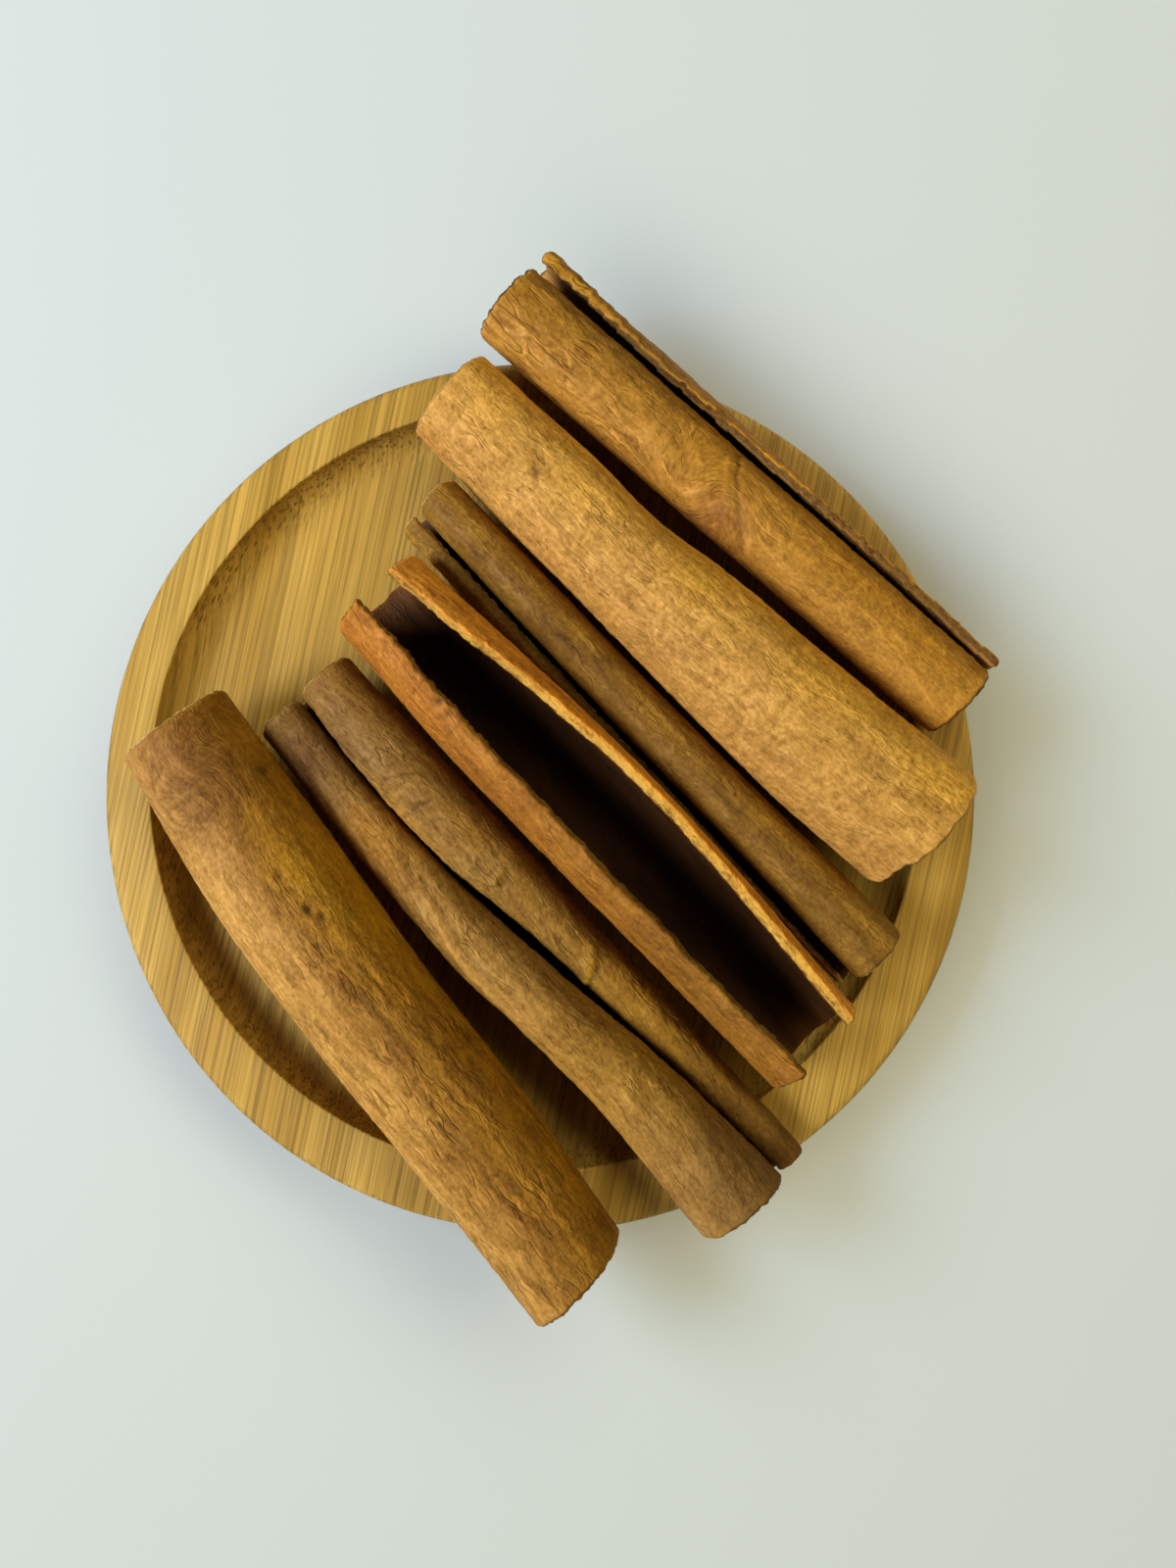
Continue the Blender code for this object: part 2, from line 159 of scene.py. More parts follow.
QUILLS = {
    "quill_1_broad": Quill(
        start=(-40.1, 8.3),
        end=(4.7, -52.9),
        width=(13.1, 15.0, 14.7, 14.4, 13.2),
        height=(11.6, 12.6, 12.6, 12.2, 11.6),
        sway=(0.0, -0.7, -0.8, -0.1, 0.0),
        sheet=(curl(200, 2.2), curl(260, 6.4), curl(190, 2.3)),
        base=1,
        back_up=True,
        lean=(1.4, 0.4),
        skew=(0.0, -2.4),
        slot="bark_brown",
        colour=(0.19, 0.077, 0.0074),
        left=(1.48, 1.69, 2.94),
        right=(1.28, 1.29, 0.43),
        fibre=(0.4, 0.5, 0.9, 1.0, 0.9),
        ripple=(1.0, 0.5, 0.25, 0.2, 0.3),
        crackle=(0.2, 0.3, 0.5, 0.5, 0.4),
        features=[
            Feature(25.5, 1.8, 0.55, depth=0.35, dark=0.9),
            Feature(27.1, 2.4, 0.45, depth=0.25, dark=0.7),
            Feature(23.0, 1.6, 0.35, depth=0.2, dark=0.6),
            Feature(20.9, 1.4, 0.4, depth=0.2, dark=0.5),
            Feature(29.4, 0.3, 0.4, depth=0.2, dark=0.6),
            Feature(10.3, 5.7, 0.45, depth=0.25, dark=0.6),
            Feature(5.9, 6.1, 1.6, pale=0.2, tint=(1.3, 1.4, 1.1), stretch=0.5),
            Feature(6.9, -0.3, 6.0, turn=-0.6),
            Feature(5.0, 1.0, 7.5, tint=(0.78, 0.70, 0.70)),
            Feature(20.0, 5.2, 3.5, tint=(1.15, 1.2, 0.8), stretch=0.6),
            Feature(28.5, 6.0, 4.0, tint=(1.25, 1.35, 0.7), stretch=0.5),
            Feature(24.0, -5.0, 5.5, tint=(1.12, 1.12, 1.2), stretch=0.5),
            Feature(47.0, -4.5, 7.0, tint=(1.12, 1.12, 1.05), stretch=0.4),
        ],
        lines=[
            Line(((13.2, -1.6), (18.4, -0.2), (24.0, 1.0), (29.0, 1.2)), 0.35, -0.10, pale=0.35),
            Line(((17.0, 3.4), (21.6, 4.1), (26.2, 4.0), (31.2, 4.9)), 0.3, -0.08, pale=0.3),
            Line(((14.6, -5.6), (20.8, -4.7), (27.0, -4.9)), 0.35, -0.10, pale=0.35),
            Line(((38.0, 0.2), (44.4, 0.9), (51.0, 0.5)), 0.4, -0.10, pale=0.3),
            Line(((50.8, -0.8), (56.6, 0.4), (63.0, 0.1)), 0.35, 0.10, dark=0.3),
            Line(((47.2, 2.5), (53.0, 3.3), (59.4, 2.9)), 0.35, -0.08, pale=0.25),
            Line(((4.0, -3.9), (7.2, -5.0), (10.4, -4.2), (12.6, -2.0)), 0.35, 0.12, dark=0.35),
            Line(((5.6, -2.6), (8.0, -3.5), (10.4, -2.6), (12.0, -0.8)), 0.35, 0.10, dark=0.3),
            Line(((31.6, -4.5), (36.7, -3.9), (43.0, -2.7), (48.7, -2.4)), 0.45, -0.12, pale=0.5),
            Line(((33.7, -5.4), (39.7, -5.0), (45.7, -4.0)), 0.4, 0.1, dark=0.25),
        ],
    ),
    "quill_2_twin_roll": Quill(
        start=(-26.2, 11.6),
        end=(24.1, -44.1),
        width=(13.0, 14.6, 14.6, 13.9, 14.6),
        height=(7.4, 8.2, 8.4, 8.6, 9.4),
        sway=(0.0, -0.4, -0.3, 0.5, 0.0),
        sheet=(
            curl(100, (1.1, 1.4, 1.7, 2.3, 3.2)),
            curl(265, (2.3, 2.6, 3.2, 3.9, 5.0)),
            flat((6.2, 7.0, 7.6, 6.7, 6.9)),
            curl((265, 265, 265, 250, 220), (2.8, 3.4, 2.5, 2.0, 1.6)),
            curl((100, 100, 100, 60, 30), (1.3, 1.8, 1.1, 0.9, 0.8)),
        ),
        base=2,
        bark=1.15,
        skew=(0.0, 1.2),
        swell=0.4,
        slot="bark_grey_brown",
        colour=(0.18, 0.083, 0.012),
        left=(1.27, 1.25, 1.27),
        right=(0.91, 0.82, 0.46),
        fibre=(0.7, 0.8, 0.7, 0.7, 0.7),
        ripple=(0.5, 0.6, 0.7, 0.4, 0.4),
        crackle=(0.3, 0.4, 0.3, 0.3, 0.3),
        features=[
            Feature(44.6, 2.0, 0.6, depth=-0.3, tint=(1.3, 1.4, 1.1)),
            Feature(43.9, 3.1, 0.7, depth=-0.35, tint=(1.35, 1.45, 1.1)),
            Feature(43.2, 4.2, 0.6, depth=-0.3, tint=(1.3, 1.4, 1.1)),
            Feature(42.4, 5.1, 0.7, depth=-0.3, tint=(1.3, 1.4, 1.1)),
            Feature(5.0, -5.2, 5.5, tint=(0.62, 0.57, 0.75)),
            Feature(17.5, -4.2, 5.0, tint=(1.35, 1.25, 1.0)),
            Feature(9.0, 3.0, 8.0, tint=(0.92, 0.95, 1.35)),
            Feature(53.0, 4.0, 9.0, tint=(1.25, 1.25, 0.75)),
            Feature(72.0, -2.0, 8.0, tint=(0.80, 0.80, 1.0)),
        ],
        lines=[
            Line(((45.4, 1.4), (44.8, 2.8), (44.2, 4.4)), 0.4, 0.25, dark=0.5),
            Line(((26.4, 0.2), (28.4, 0.9), (29.8, 2.2), (29.2, 4.0)), 0.5, -0.25, pale=0.5),
            Line(((27.6, 0.6), (29.6, 1.2), (30.8, 2.6), (30.0, 4.6)), 0.5, 0.2, dark=0.35),
            Line(((21.0, 3.4), (24.4, 3.0), (28.6, 2.6)), 0.35, -0.12, pale=0.4),
            Line(((23.0, 4.8), (26.0, 4.4), (29.0, 4.2)), 0.35, -0.12, pale=0.4),
            Line(((41.0, -3.6), (43.5, -4.3), (46.0, -5.0)), 0.5, -0.15, pale=0.45),
            Line(((10.6, 0.2), (10.9, 2.0), (11.4, 4.8)), 0.3, 0.14, dark=0.4),
            Line(((13.5, 0.2), (14.4, 2.6), (15.6, 4.6)), 0.3, 0.14, dark=0.4),
            Line(((17.7, -1.0), (18.0, 1.2), (18.6, 3.3)), 0.35, 0.18, dark=0.6),
            Line(((20.0, 0.3), (20.3, 2.0), (21.4, 3.2)), 0.3, 0.12, dark=0.4),
            Line(((12.3, -4.5), (16.8, -6.0), (20.3, -7.2)), 0.5, -0.12, pale=0.3),
            Line(
                ((25.0, -4.4), (28.5, -5.2), (32.4, -6.2), (37.0, -6.7), (42.6, -6.2)), 0.5, -0.2, pale=0.7
            ),
            Line(((24.0, -3.2), (28.5, -4.1), (32.5, -5.1), (37.5, -5.5)), 0.6, 0.15, dark=0.3),
        ],
    ),
    "quill_3_open_channel": Quill(
        start=(-17.6, 22.6),
        end=(30.4, -27.4),
        width=(11.9, 13.7, 14.4, 13.7, 12.6),
        height=(11.2, 12.2, 12.4, 12.2, 11.4),
        sway=(0.0, 0.1, 0.5, 0.4, 0.0),
        sheet=(
            curl((166, 160, 156, 157, 163), 6.4),
            flat(1.0),
            curl((158, 137, 120, 121, 128), 6.4),
        ),
        base=1,
        bark=1.5,
        slot="bark_reddish",
        colour=(0.29, 0.10, 0.0088),
        left=(0.90, 0.83, 0.70),
        right=(1.80, 1.95, 1.90),
        fibre=(0.7,),
        ripple=(0.5, 0.4, 0.4, 0.5, 0.5),
        # Its inside is darkened further as painted shade in the channel.
        inner=(0.050, 0.018, 0.006),
        cut=(0.27, 0.125, 0.018),
        crackle=(0.4,),
        edge_waves=0.45,
        features=[
            Feature(14.0, -3.1, 0.55, depth=0.3, dark=0.8),
            Feature(15.6, -3.2, 0.45, depth=0.2, dark=0.6),
            Feature(26.0, -5.5, 7.0, tint=(0.86, 0.88, 0.80), stretch=0.5),
            Feature(45.0, -5.5, 8.0, tint=(0.76, 0.82, 0.70), stretch=0.4),
            Feature(60.0, -5.5, 7.0, tint=(0.72, 0.82, 0.80), stretch=0.5),
        ],
    ),
    "quill_4_slim": Quill(
        start=(-12.4, 32.5),
        end=(37.1, -18.1),
        width=(8.3, 8.3, 8.2, 8.4, 9.0),
        height=(7.6, 7.8, 8.0, 8.0, 8.0),
        sway=(0.0, -0.2, -0.2, 0.0, 0.0),
        sheet=(
            curl((205, 185, 115), (1.4, 1.3, 1.0)),
            flat((3.95, 4.0, 3.9)),
            curl(265, (2.3, 2.8, 3.1)),
            curl(100, (1.1, 1.4, 1.6)),
        ),
        base=1,
        bark=1.1,
        slot="bark_grey_brown",
        colour=(0.12, 0.049, 0.0034),
        left=(1.71, 1.95, 2.97),
        right=(1.95, 2.11, 2.19),
        fibre=(0.5, 0.6, 0.8, 0.6, 0.5),
        ripple=(0.6, 0.5, 0.4, 0.5, 0.6),
        crackle=(0.5, 0.4, 0.5, 0.4, 0.5),
    ),
    "quill_5_smooth": Quill(
        start=(-9.9, 44.7),
        end=(42.2, -3.5),
        width=(11.4, 11.9, 12.4, 12.3, 13.7, 14.6, 15.4, 15.9, 16.2),
        height=(9.8, 11.6, 12.8, 13.2, 12.6),
        sway=(0.0, -0.35, -0.6, -1.1, -0.85, -0.85, -0.8, -0.5, 0.0),
        sheet=(curl(190, 1.9), curl(265, 6.0), curl(150, 2.0)),
        base=1,
        back_up=True,
        lean=(0.6, -2.0),
        slot="bark_golden",
        colour=(0.40, 0.19, 0.033),
        left=(0.82, 0.77, 0.82),
        right=(1.50, 1.49, 0.85),
        fibre=(0.5, 0.6, 0.5, 0.5, 0.5),
        ripple=(0.6, 0.6, 0.8, 0.8, 0.8),
        crackle=(0.8, 0.9, 0.7, 0.6, 0.7),
        mottle=0.22,
        features=[
            Feature(14.3, -1.0, 0.5, depth=0.2, dark=0.9),
            Feature(13.5, -0.4, 0.35, depth=0.15, dark=0.7),
        ],
        bites=((1, -5.6, 1.3, 0.6),),
        swell=0.22,
    ),
    "quill_6_lipped": Quill(
        start=(-2.7, 55.7),
        end=(47.1, 10.9),
        width=(12.4, 12.8, 12.5, 11.5, 10.9),
        height=(9.8, 9.8, 9.6, 9.6, 9.4),
        sway=(0.1, 0.45, 0.55, 0.35, 0.1),
        sheet=(
            curl(160, (2.7, 2.6, 2.55, 2.7, 2.8)),
            curl(235, (4.2, 4.1, 4.1, 4.25, 4.35)),
            flat((5.6, 6.0, 5.8, 5.05, 4.6)),
            curl((93, 115, 112, 101, 94), 1.5),
            flat((3.2, 4.4, 5.0, 4.9, 4.8)),
            curl((122, 40, 15, 10, 8), 0.95),
        ),
        base=2,
        bark=1.2,
        lean=(0.8, 0.0),
        slot="bark_golden",
        colour=(0.29, 0.12, 0.0094),
        left=(1.00, 1.02, 1.44),
        right=(1.37, 1.31, 0.80),
        # Its inside is lightened as painted light on the lip's shaded inner face.
        inner=(0.20, 0.09, 0.024),
        cut=(0.10, 0.045, 0.010),
        fibre=(1.0, 0.9, 0.6, 0.4, 0.4),
        ripple=(0.2, 0.5, 0.7, 0.6, 0.5),
        crackle=(0.2, 0.2, 0.3, 0.4, 0.4),
        mottle=0.3,
        scallop=0.25,
        lip_swell=0.25,
        swell=0.2,
        features=[
            Feature(31.0, -4.0, 4.2, turn=1.3),
            Feature(6.0, 6.0, 7.0, tint=(0.70, 0.74, 0.90), stretch=0.35),
            Feature(33.5, -4.6, 3.0, tint=(0.72, 0.62, 0.80)),
            Feature(37.2, -4.9, 0.5, depth=0.15, dark=0.4),
        ],
        lines=[
            Line(((30.8, 2.4), (32.6, -0.3), (35.6, -3.2), (38.0, -5.2)), 0.5, 0.2, dark=0.4),
            Line(((30.2, 1.2), (31.6, -0.9), (34.0, -3.4)), 0.4, -0.12, pale=0.35),
            Line(((27.4, -0.6), (29.6, -2.0), (31.8, -3.9)), 0.4, -0.10, pale=0.3),
            Line(((52.2, -1.3), (58.8, -2.5), (65.7, -3.9)), 0.35, -0.15, pale=0.7),
            Line(((63.2, -1.0), (64.2, -1.7), (64.7, -0.9), (65.8, -1.9)), 0.25, 0.1, pale=0.6),
        ],
    ),
}


# Noise


def hashed(column, row, seed):
    """A repeatable whole number for each whole-numbered place."""
    mixed = (column * 374761393 + row * 668265263 + seed * 69069) & 0xFFFFFFFF
    mixed = ((mixed ^ (mixed >> 13)) * 1274126177) & 0xFFFFFFFF
    return mixed ^ (mixed >> 16)


def fade(part):
    """A smooth rise from 0 to 1."""
    return part**3 * (part * (6 * part - 15) + 10)


def noise(x, y, seed):
    """Smooth noise of about -1 to 1, with features about one unit across."""
    x, y = np.broadcast_arrays(x, y)
    column = np.floor(x).astype(np.int64)
    row = np.floor(y).astype(np.int64)
    total = np.zeros(x.shape)
    for right in (0, 1):
        for up in (0, 1):
            angle = hashed(column + right, row + up, seed) % 4096 * (2 * np.pi / 4096)
            from_x = x - column - right
            from_y = y - row - up
            slope = np.cos(angle) * from_x + np.sin(angle) * from_y
            total += slope * fade(1 - np.abs(from_x)) * fade(1 - np.abs(from_y))
    return total * 1.5


def fractal(x, y, seed, octaves=3, gain=0.5):
    """Noise with finer and finer detail added."""
    total = 0.0
    size = 1.0
    for octave in range(octaves):
        total = total + noise(x / size, y / size, seed + octave) * gain**octave
        size *= 0.49
    return total


def smooth_step(low, high, value):
    """0 below low, 1 above high, and a smooth rise between."""
    return fade(np.clip((value - low) / (high - low), 0, 1))


# The rolled sheet


def at(values, t):
    """The value at t, from 0 to 1, of a smooth curve through evenly spaced values."""
    values = np.asarray(values, float)
    last = len(values) - 1
    if last == 0:
        return values[0]
    whole = min(int(t * last), last - 1)
    part = t * last - whole
    ends = [values[min(max(whole + step, 0), last)] for step in (-1, 0, 1, 2)]
    before, left, right, after = ends
    slope_left = (right - before) / 2
    slope_right = (after - left) / 2
    return (
        left * (1 + 2 * part) * (1 - part) ** 2
        + right * part**2 * (3 - 2 * part)
        + slope_left * part * (1 - part) ** 2
        - slope_right * part**2 * (1 - part)
    )


def mid_line(quill, t):
    """The sheet's mid-line at t as points across and up, and the share of it at its base."""
    lengths, degrees = np.transpose([at(piece, t) for piece in quill.sheet])
    ends = np.concatenate([[0], np.cumsum(lengths)])
    distance = np.linspace(0, ends[-1], FINE_POINTS)
    step = distance[1]
    piece = np.clip(np.searchsorted(ends, distance, side="right") - 1, 0, len(lengths) - 1)
    curvature = (np.radians(degrees) / lengths)[piece]
    reach = int(SMOOTHING / step / 2)
    padded = np.pad(curvature, reach, mode="edge")
    curvature = np.convolve(padded, np.full(2 * reach + 1, 1 / (2 * reach + 1)), "valid")
    heading = np.cumsum(curvature) * step
    base = ends[quill.base] + lengths[quill.base] / 2
    heading -= np.interp(base, distance, heading)
    points = np.cumsum(np.stack([np.cos(heading), np.sin(heading)], axis=-1), axis=0) * step
    if quill.back_up:
        points[:, 1] *= -1
    return points, base / ends[-1]


def section(quill, t):
    """The mid-line in place, its direction, and each point's distance from its base."""
    points, base = mid_line(quill, t)
    size = np.array([at(quill.width, t), at(quill.height, t)]) - quill.bark
    low = points.min(axis=0)
    points = (points - low) / (points.max(axis=0) - low) * size
    points += (at(quill.sway, t) - size[0] / 2, quill.bark / 2)
    steps = np.diff(points, axis=0)
    distance = np.concatenate([[0], np.cumsum(np.linalg.norm(steps, axis=1))])
    distance -= np.interp(base, np.linspace(0, 1, FINE_POINTS), distance)
    heading = np.gradient(points, axis=0)
    heading /= np.linalg.norm(heading, axis=1)[:, None]
    return points, heading, distance


def outward(quill, heading):
    """The direction out of the roll, from the mid-line's heading."""
    turn = -1 if quill.back_up else 1
    return turn * np.stack([heading[..., 1], -heading[..., 0]], axis=-1)


def path_shares(quill):
    """Where the path's points lie on the sheet, from 0 to 1: closest where it shows."""
    points, heading, _ = section(quill, 0.5)
    out = outward(quill, heading)
    near = np.abs(points[:, None, 0] - points[None, :, 0]) < 0.4
    above = points[None, :, 1] > points[:, None, 1] + 1.0
    shows = ~(near & above).any(axis=1)
    turned = np.linalg.norm(np.diff(heading, axis=0, prepend=heading[:1]), axis=1)
    from_end = np.minimum(np.arange(FINE_POINTS), np.arange(FINE_POINTS)[::-1])
    weight = 0.3 + 0.9 * shows * smooth_step(-0.3, 0.5, out[:, 1])
    weight += 6 * turned + 0.5 * (from_end < 15)
    weight = np.convolve(np.pad(weight, 12, mode="edge"), np.full(25, 1 / 25), "valid")
    share = np.concatenate([[0], np.cumsum(weight[1:])])
    even = np.linspace(0, share[-1], PATH_POINTS)
    return np.interp(even, share, np.linspace(0, 1, FINE_POINTS))


@dataclass
class Skin:
    """One quill's surface, with a row of points round it at each station along it."""

    along: np.ndarray
    place: np.ndarray  # across and up
    out: np.ndarray  # outward, across and up
    sheet: np.ndarray  # distance round the bark
    side: np.ndarray  # 1 outside, -1 inside, between them on a cut edge
    edge: np.ndarray  # distance from the nearer long edge
    length: float

    @property
    def from_end(self):
        """Distance from the nearer cut end."""
        return np.minimum(self.along, self.length - self.along)


def lay_out(quill, seed):
    """The quill's smooth skin, before its relief."""
    length = np.linalg.norm(np.subtract(quill.end, quill.start))
    near = np.array(END_STATIONS)
    stations = np.arange(FIRST_STATION, length - FIRST_STATION, STATION_GAP)
    stations = np.concatenate([near, stations, length - near[::-1]])
    shares = path_shares(quill)
    fine = np.linspace(0, 1, FINE_POINTS)
    rows = []
    for station in stations:
        points, heading, distance = section(quill, station / length)
        spots = worn_back(quill, seed, shares, station, distance[-1] - distance[0])
        columns = (*points.T, *heading.T, distance)
        rows.append(np.stack([np.interp(spots, fine, column) for column in columns], axis=-1))
    rows = np.stack(rows)
    heading = rows[..., 2:4] / np.linalg.norm(rows[..., 2:4], axis=-1)[..., None]
    return skin_of(quill, stations, rows[..., :2], heading, rows[..., 4], length)


def worn_back(quill, seed, shares, station, total):
    """The shares, with the sheet's two long edges worn back unevenly."""
    worn = []
    for row in (0.5, 40.5):
        ripple = fractal(station / 3.1, row, seed + 71, 4)
        worn.append((EDGE_ROUND + quill.edge_waves * (0.5 + 0.5 * ripple)) / total)
    return worn[0] + shares * (1 - sum(worn))


def skin_of(quill, stations, points, heading, distance, length):
    """The skin round a mid-line: its outside, one cut edge, its inside and the other edge."""
    out = outward(quill, heading)
    first = distance[:, :1]
    last = distance[:, -1:]
    levels = np.linspace(1, -1, CUT_ROWS + 1)[1:-1]
    everywhere = np.arange(PATH_POINTS)
    columns = [(index, 1.0, 0) for index in everywhere]
    columns += [(PATH_POINTS - 1, level, 1) for level in levels]
    columns += [(index, -1.0, 0) for index in everywhere[::-1]]
    columns += [(0, level, -1) for level in levels[::-1]]
    index, level, edge = (np.array(values) for values in zip(*columns))
    past = edge * EDGE_ROUND * np.sqrt(1 - level**2)
    place = points[:, index] + out[:, index] * (level * quill.bark / 2)[None, :, None]
    place += heading[:, index] * past[None, :, None]
    facing = out[:, index] * level[None, :, None]
    facing += heading[:, index] * (edge * (1 - np.abs(level)))[None, :, None]
    facing /= np.linalg.norm(facing, axis=-1)[..., None]
    sheet = distance[:, index] + edge * (1 - level) / 2 * quill.bark
    back = 2 * last + quill.bark - distance[:, index]
    sheet = np.where((level == -1) & (edge == 0), back, sheet)
    gap = np.minimum(distance[:, index] - first, last - distance[:, index])
    shape = sheet.shape
    along = np.broadcast_to(stations[:, None], shape)
    return Skin(along, place, facing, sheet, np.broadcast_to(level, shape), gap, length)


# The bark's relief and marks


def line_gap(line, along, across):
    """How far each point is, seen from above, from the line."""
    gap = np.full(along.shape, 1e9)
    for first, second in zip(line.points, line.points[1:]):
        run = np.subtract(second, first)
        part = ((along - first[0]) * run[0] + (across - first[1]) * run[1]) / (run @ run)
        part = np.clip(part, 0, 1)
        away = np.hypot(along - first[0] - part * run[0], across - first[1] - part * run[1])
        gap = np.minimum(gap, away)
    return gap


def named_marks(quill, skin, seed):
    """How dark, pale and deep the quill's own features and lines make each point."""
    shown = smooth_step(0.0, 0.3, skin.out[..., 1]) * (skin.side == 1)
    across = skin.place[..., 0]
    shifts = [0.35 * noise(skin.along / 1.3, across / 1.3, seed + step) for step in (5, 6)]
    along = skin.along + shifts[0]
    across = across + shifts[1]
    marks = {name: np.zeros(shown.shape) for name in ("dark", "pale", "depth")}
    shares = []
    for feature in quill.features:
        gap = np.hypot((along - feature.along) * feature.stretch, across - feature.across)
        shares.append((feature, shown * np.exp(-((gap / feature.size) ** 2))))
    for line in quill.lines:
        gap = line_gap(line, along, across)
        shares.append((line, shown * np.exp(-((2 * gap / line.width) ** 2))))
    for mark, share in shares:
        marks["depth"] += mark.depth * share
        for name in ("dark", "pale"):
            marks[name] = np.maximum(marks[name], getattr(mark, name) * share)
    return marks


def tints(quill, skin, seed):
    """What each point's colour is multiplied by: it differs between sides, partly as painted
    light and shade on each flank, and in patches; near each end the inside gets painted light.
    """
    # The flanks' tints are partly the bark's own tone and partly painted light and shade on each side.
    side = skin.place[..., 0] / (0.45 * np.max(quill.width))
    side = side + 0.35 * noise(skin.along / 8, skin.sheet / 5, seed + 15)
    both = zip(quill.left, quill.right)
    tint = np.stack([np.interp(side, (-0.9, 0, 0.9), (low, 1, high)) for low, high in both], -1)
    across = skin.place[..., 0] + 0.6 * noise(skin.along / 2.5, skin.sheet / 2.5, seed + 16)
    along = skin.along + 0.8 * noise(skin.along / 3, skin.sheet / 2.5, seed + 17)
    for feature in quill.features:
        gap = np.hypot((along - feature.along) * feature.stretch, across - feature.across)
        share = np.exp(-((gap / feature.size) ** 2))[..., None]
        tint = tint * (1 - share + share * feature.tint)
    # Painted light: the inside is brightened near each end.
    lit = 1 + PAINTED_LIGHT_SHARE * np.exp(-((skin.from_end[..., None] / PAINTED_LIGHT_REACH) ** 2))
    return np.where(skin.side[..., None] == -1, lit, tint)


def swirled(quill, skin):
    """The bark's own coordinates, turned where the fibres curl round a scar."""
    along = skin.along
    sheet = skin.sheet
    for feature in quill.features:
        if feature.turn:
            shown = (skin.side == 1) & (skin.out[..., 1] > 0.2)
            gap = np.hypot(skin.along - feature.along, skin.place[..., 0] - feature.across)
            middle = skin.sheet.flat[np.argmin(np.where(shown, gap, 1e9))]
            run = along - feature.along
            rise = sheet - middle
            angle = feature.turn * np.exp(-(run**2 + rise**2) / feature.size**2)
            along = feature.along + run * np.cos(angle) - rise * np.sin(angle)
            sheet = middle + run * np.sin(angle) + rise * np.cos(angle)
    return along, sheet


def rounding(distance):
    """How far a worn corner falls back, this far from it."""
    return EDGE_ROUND * (1 - np.sqrt(1 - np.clip(1 - distance / WORN_REACH, 0, 1) ** 2))


def shares_of(quill, skin, seed):
    """How strong the wrinkles along, the ripples across and the crackle are at each point."""
    t = skin.along[:, 0] / skin.length
    rows = []
    for step, kind in ((61, quill.fibre), (62, quill.ripple), (63, quill.crackle)):
        patches = 0.75 + 0.5 * noise(skin.along / 6, skin.sheet / 5, seed + step)
        rows.append(np.array([at(kind, part) for part in t])[:, None] * patches)
    return np.clip(np.stack(rows, axis=-1), 0, 1.5)


def relief(quill, skin, grain, marks, shares, seed):
    """How far each point stands out, and how creased it is. The outside keeps within the CAD."""
    run = skin.along
    along = grain[0] + 1.2 * noise(run / 7, skin.sheet / 5, seed + 11)
    sheet = grain[1] + 0.9 * noise(run / 5, skin.sheet / 4, seed + 12)
    swell = fractal(run / 11, skin.sheet / 6, seed + 21, 3)
    fibres = 1 - 2 * np.abs(fractal(along / 5.0, sheet / 1.3, seed + 31, 2))
    ripples = fractal(along / 0.95, sheet / 2.4, seed + 41, 2)
    bumps = fractal(along / 1.3, sheet / 1.1, seed + 45, 2)
    thread = np.abs(fractal(along / 2.4, sheet / 0.9, seed + 51, 2))
    patchy = smooth_step(-0.1, 0.4, noise(run / 4, skin.sheet / 3, seed + 65))
    crease = np.clip(1 - thread / 0.16, 0, 1) ** 1.3 * patchy * shares[..., 2]
    outside = quill.swell * (0.5 * swell - 0.3)
    outside = outside - TOP_DROP * smooth_step(0.85, 1.0, skin.out[..., 1])
    outside += FIBRE_DEPTH * shares[..., 0] * (fibres - 0.5)
    outside += RIPPLE_DEPTH * shares[..., 1] * (ripples - 0.2)
    outside += BUMP_DEPTH * (bumps - 0.3) - CREASE_DEPTH * crease - marks["depth"]
    inside = INSIDE_DEPTH * fractal(run / 3.0, skin.sheet / 2.2, seed + 81, 3)
    lip = skin.place[..., 0] > 0.33 * np.max(quill.width)
    inside += quill.lip_swell * lip * smooth_step(0.0, 0.9, skin.edge)
    torn = TORN_DEPTH * (fractal(run / 0.9, skin.sheet / 0.5, seed + 91, 3) - 0.5)
    flat_side = np.abs(skin.side) == 1
    move = np.where(skin.side == 1, outside, np.where(flat_side, inside, torn))
    corner = np.maximum(rounding(skin.from_end), 0.7 * rounding(skin.edge))
    return move - corner * flat_side, crease * (skin.side == 1)


def worn_rims(skin, seed):
    """How pale the worn rims are at the ends and along the long edges."""
    worn = np.exp(-skin.from_end / 0.5) + 0.6 * np.exp(-skin.edge / 0.35)
    patchy = 0.5 + 0.5 * noise(skin.along / 0.9, skin.sheet / 0.9, seed + 95)
    return 0.8 * np.clip(worn * patchy, 0, 1) * (skin.side > -1)


